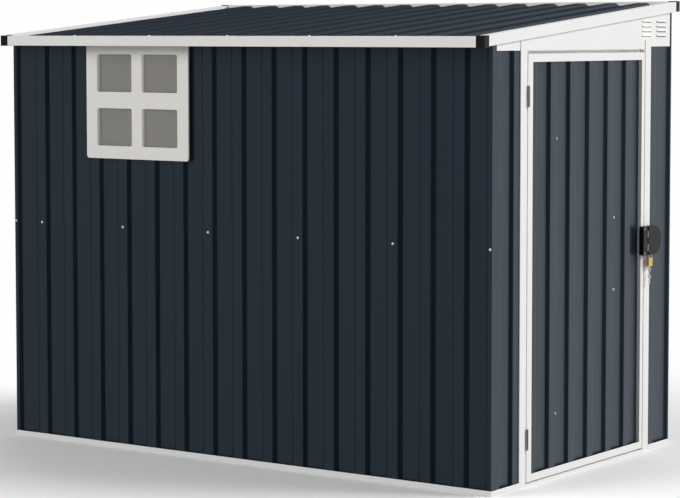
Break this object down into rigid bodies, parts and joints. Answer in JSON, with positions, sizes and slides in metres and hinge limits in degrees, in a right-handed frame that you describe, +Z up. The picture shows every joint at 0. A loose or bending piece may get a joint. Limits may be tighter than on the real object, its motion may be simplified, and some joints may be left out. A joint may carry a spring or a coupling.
{
  "type": "metal garden shed",
  "caption": "Lean-to garden shed of ribbed sheet steel with a white frame, a hinged end door with a covered lock, a paned window and a sloping roof.",
  "frame": {"origin": "middle of the shed's plan at ground level, under the roof frame's outline", "axes": "+X along the front wall towards the end wall with the door, +Y from the front wall to the high back wall, +Z up"},
  "size_m": [2.55, 1.6164, 1.9491],
  "materials": {
    "wall_sheet": "satin anthracite paint on ribbed steel sheet",
    "roof_sheet": "satin anthracite paint on ribbed steel sheet",
    "white_frame": "satin white paint on folded steel",
    "window_plastic": "off-white moulded plastic",
    "window_pane": "clear plastic pane, slightly grey",
    "black_plastic": "black moulded plastic",
    "hinge_steel": "plain zinc-plated steel",
    "padlock_brass": "satin brass",
    "key_steel": "nickel-plated keys and ring"
  },
  "bodies": {
    "shed": {"corner_panel_front_left": "wall_sheet", "corner_panel_front_right": "wall_sheet", "corner_panel_back_left": "wall_sheet", "corner_panel_back_right": "wall_sheet", "front_panel_1": "wall_sheet", "front_panel_2": "wall_sheet", "front_panel_3": "wall_sheet", "front_panel_4": "wall_sheet", "front_panel_5": "wall_sheet", "back_panels": "wall_sheet", "left_panels": "wall_sheet", "roof_panel_1": "roof_sheet", "roof_panel_2": "roof_sheet", "roof_panel_3": "roof_sheet", "roof_panel_4": "roof_sheet", "roof_panel_5": "roof_sheet", "base_rail_front": "white_frame", "base_rail_back": "white_frame", "base_rail_left": "white_frame", "base_rail_right": "white_frame", "gable_panel_left": "white_frame", "gable_panel_right": "white_frame", "door_post_hinge": "white_frame", "door_post_latch": "white_frame", "door_head": "white_frame", "eave_rail": "white_frame", "ridge_rail": "white_frame", "rake_rail_left": "white_frame", "rake_rail_right": "white_frame", "wall_top_rails": "white_frame", "mid_rails": "white_frame", "roof_purlins": "white_frame", "window_frame": "window_plastic", "rail_caps": "black_plastic", "window_panes": "window_pane", "post_hinge_leaves": "hinge_steel", "lock_cover_post": "black_plastic", "padlock": "padlock_brass", "padlock_keys": "key_steel"},
    "door": {"door_panel": "wall_sheet", "door_stiles": "white_frame", "door_rails": "white_frame", "door_braces": "white_frame", "door_hinge_leaves": "hinge_steel", "lock_cover_door": "black_plastic"}
  },
  "joints": [
    {"name": "door_hinge", "type": "hinge", "parent": "shed", "child": "door", "pos_m": [1.2563, -0.477, 0.9], "axis": [0, 0, -1], "range_deg": [0, 120]}
  ]
}
